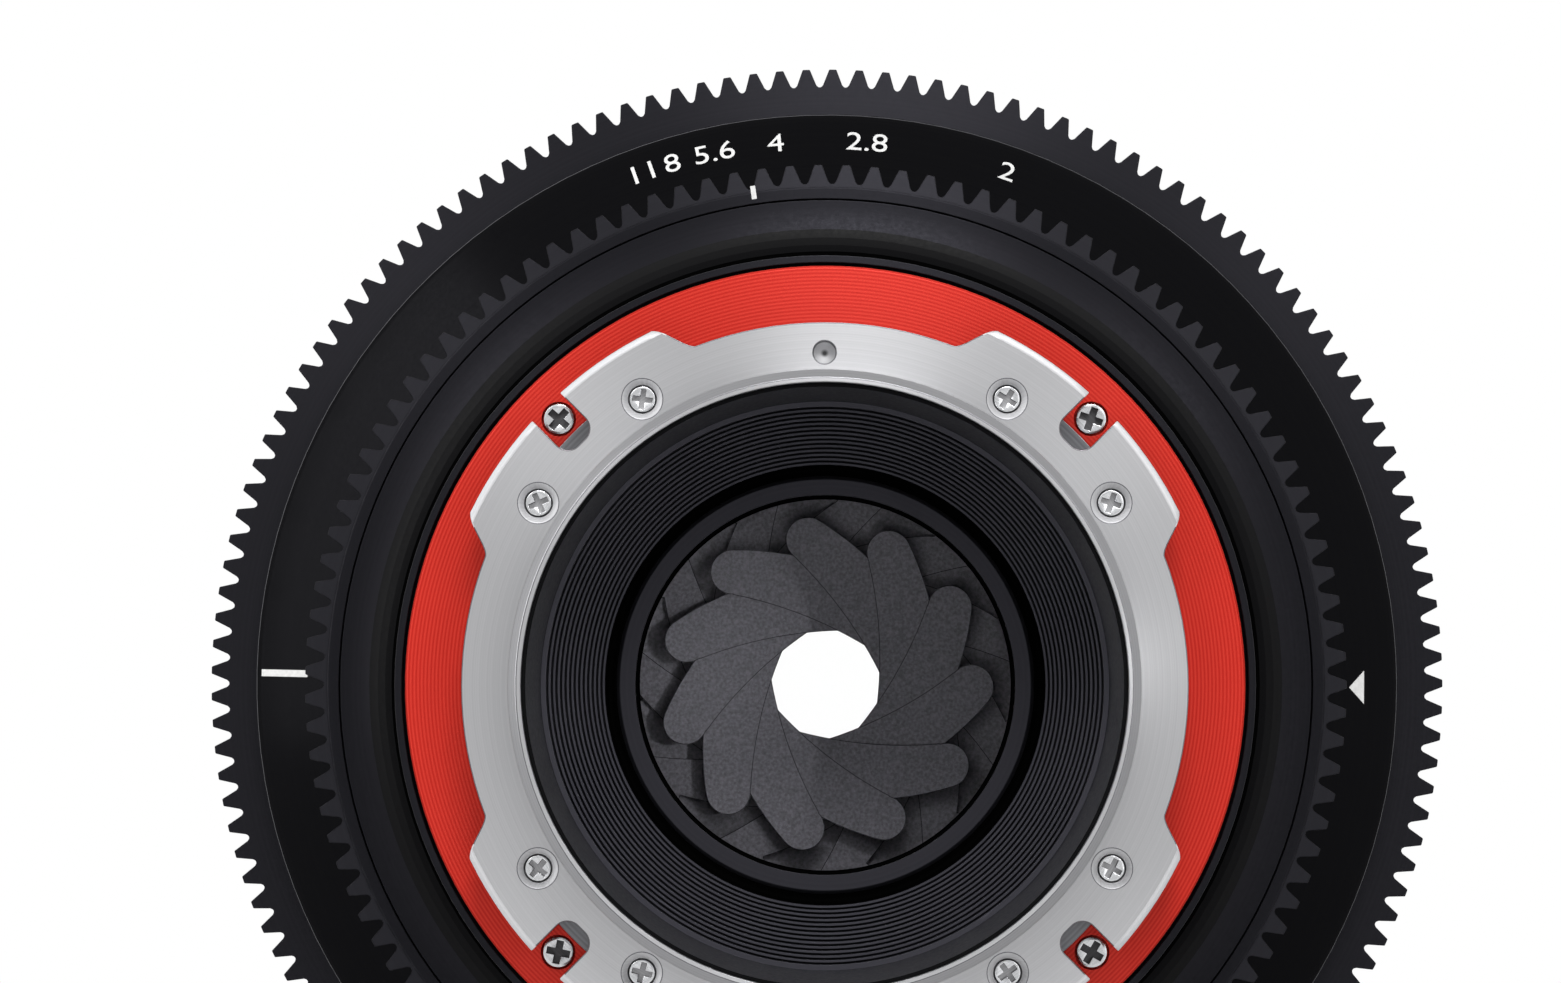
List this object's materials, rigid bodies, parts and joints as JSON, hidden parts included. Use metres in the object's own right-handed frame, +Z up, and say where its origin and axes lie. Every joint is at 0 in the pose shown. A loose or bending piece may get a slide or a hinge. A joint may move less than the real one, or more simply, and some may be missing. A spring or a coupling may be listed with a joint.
{
  "type": "cinema prime lens",
  "caption": "Cinema prime lens with a lugged bayonet mount, toothed focus and aperture rings, a helicoid focus group and a swinging-blade iris behind glass.",
  "frame": {"origin": "centre of the mount's seating face on the optical axis", "axes": "+Y along the optical axis to the front, the mount looks to -Y, +Z up, +X to the right as seen from behind"},
  "size_m": [0.1176, 0.099, 0.1176],
  "materials": {
    "mount_steel": "satin turned stainless steel",
    "screw_steel": "bright steel",
    "collar_red": "red anodised, finely turned",
    "shim_brass": "rolled shim",
    "black_satin": "black anodised, satin",
    "black_gloss": "black, glossy",
    "black_matte": "black anodised, matt",
    "helicoid_brass": "turned and greased",
    "drive_alloy": "dark anodised",
    "blade_steel": "blackened spring steel",
    "coated_glass": "polished, coated"
  },
  "bodies": {
    "barrel": {"mount_flange": "mount_steel", "flange_screws": "screw_steel", "mount_collar": "collar_red", "collar_screws": "screw_steel", "flange_shim": "shim_brass", "rear_housing": "black_satin", "rear_baffle": "black_matte", "main_barrel": "black_gloss", "barrel_screws": "screw_steel", "guide_keys": "helicoid_brass", "helicoid_washer": "helicoid_brass", "helicoid_retainer": "black_matte", "front_baffle": "black_matte", "front_barrel": "black_satin"},
    "focus_drive": {"focus_ring": "black_satin", "focus_drive_pin": "screw_steel", "helicoid_ring": "helicoid_brass"},
    "focus_group": {"focus_carrier": "black_matte", "front_cell": "black_matte", "front_retainer": "black_matte", "second_retainer": "black_matte", "doublet_retainer": "black_matte", "rear_cell": "black_matte", "rear_retainer": "black_matte", "rear_spacer_1": "black_matte", "rear_spacer_2": "black_matte", "lens_1": "coated_glass", "lens_2": "coated_glass", "lens_3": "coated_glass", "lens_4": "coated_glass", "lens_5": "coated_glass", "lens_6": "coated_glass", "lens_7": "coated_glass", "lens_8": "coated_glass", "iris_base": "black_matte", "iris_cover": "black_matte"},
    "iris_drive": {"iris_drive_ring": "drive_alloy"},
    "aperture_ring": {"iris_ring": "black_satin", "iris_drive_pin": "screw_steel"},
    "blade_01_body": {"blade_01": "blade_steel"},
    "blade_02_body": {"blade_02": "blade_steel"},
    "blade_03_body": {"blade_03": "blade_steel"},
    "blade_04_body": {"blade_04": "blade_steel"},
    "blade_05_body": {"blade_05": "blade_steel"},
    "blade_06_body": {"blade_06": "blade_steel"},
    "blade_07_body": {"blade_07": "blade_steel"},
    "blade_08_body": {"blade_08": "blade_steel"},
    "blade_09_body": {"blade_09": "blade_steel"},
    "blade_10_body": {"blade_10": "blade_steel"},
    "blade_11_body": {"blade_11": "blade_steel"}
  },
  "joints": [
    {"name": "focus_turn", "type": "hinge", "parent": "barrel", "child": "focus_drive", "pos_m": [0, 0.07, 0], "axis": [0, 1, 0], "range_deg": [0, 200]},
    {"name": "focus_slide", "type": "slide", "parent": "barrel", "child": "focus_group", "axis": [0, 1, 0], "range_m": [0, 0.007]},
    {"name": "aperture_turn", "type": "hinge", "parent": "barrel", "child": "aperture_ring", "pos_m": [0, 0.03, 0], "axis": [0, 1, 0], "range_deg": [-12.17, 27.82]},
    {"name": "iris_drive_turn", "type": "hinge", "parent": "focus_group", "child": "iris_drive", "pos_m": [0, 0.046, 0], "axis": [0, 1, 0], "range_deg": [-12.18, 27.83]},
    {"name": "blade_01_swing", "type": "hinge", "parent": "focus_group", "child": "blade_01_body", "pos_m": [-0.01574, 0.043, -0.00991], "axis": [0, 1, 0], "range_deg": [-9.63, 22]},
    {"name": "blade_02_swing", "type": "hinge", "parent": "focus_group", "child": "blade_02_body", "pos_m": [-0.00788, 0.043, -0.01685], "axis": [0, 1, 0], "range_deg": [-9.63, 22]},
    {"name": "blade_03_swing", "type": "hinge", "parent": "focus_group", "child": "blade_03_body", "pos_m": [0.00248, 0.043, -0.01843], "axis": [0, 1, 0], "range_deg": [-9.63, 22]},
    {"name": "blade_04_swing", "type": "hinge", "parent": "focus_group", "child": "blade_04_body", "pos_m": [0.01205, 0.043, -0.01417], "axis": [0, 1, 0], "range_deg": [-9.63, 22]},
    {"name": "blade_05_swing", "type": "hinge", "parent": "focus_group", "child": "blade_05_body", "pos_m": [0.0178, 0.043, -0.0054], "axis": [0, 1, 0], "range_deg": [-9.63, 22]},
    {"name": "blade_06_swing", "type": "hinge", "parent": "focus_group", "child": "blade_06_body", "pos_m": [0.01789, 0.043, 0.00508], "axis": [0, 1, 0], "range_deg": [-9.63, 22]},
    {"name": "blade_07_swing", "type": "hinge", "parent": "focus_group", "child": "blade_07_body", "pos_m": [0.01231, 0.043, 0.01395], "axis": [0, 1, 0], "range_deg": [-9.63, 22]},
    {"name": "blade_08_swing", "type": "hinge", "parent": "focus_group", "child": "blade_08_body", "pos_m": [0.00282, 0.043, 0.01839], "axis": [0, 1, 0], "range_deg": [-9.63, 22]},
    {"name": "blade_09_swing", "type": "hinge", "parent": "focus_group", "child": "blade_09_body", "pos_m": [-0.00757, 0.043, 0.01699], "axis": [0, 1, 0], "range_deg": [-9.63, 22]},
    {"name": "blade_10_swing", "type": "hinge", "parent": "focus_group", "child": "blade_10_body", "pos_m": [-0.01555, 0.043, 0.0102], "axis": [0, 1, 0], "range_deg": [-9.63, 22]},
    {"name": "blade_11_swing", "type": "hinge", "parent": "focus_group", "child": "blade_11_body", "pos_m": [-0.0186, 0.043, 0.00017], "axis": [0, 1, 0], "range_deg": [-9.63, 22]}
  ],
  "couplings": [
    {"joint": "focus_slide", "follows": "focus_turn", "m_per_rad": 0.002005},
    {"joint": "iris_drive_turn", "follows": "aperture_turn", "ratio": 1},
    {"joint": "blade_01_swing", "follows": "aperture_turn", "ratio": 0.79076},
    {"joint": "blade_02_swing", "follows": "aperture_turn", "ratio": 0.79076},
    {"joint": "blade_03_swing", "follows": "aperture_turn", "ratio": 0.79076},
    {"joint": "blade_04_swing", "follows": "aperture_turn", "ratio": 0.79076},
    {"joint": "blade_05_swing", "follows": "aperture_turn", "ratio": 0.79076},
    {"joint": "blade_06_swing", "follows": "aperture_turn", "ratio": 0.79076},
    {"joint": "blade_07_swing", "follows": "aperture_turn", "ratio": 0.79076},
    {"joint": "blade_08_swing", "follows": "aperture_turn", "ratio": 0.79076},
    {"joint": "blade_09_swing", "follows": "aperture_turn", "ratio": 0.79076},
    {"joint": "blade_10_swing", "follows": "aperture_turn", "ratio": 0.79076},
    {"joint": "blade_11_swing", "follows": "aperture_turn", "ratio": 0.79076}
  ]
}
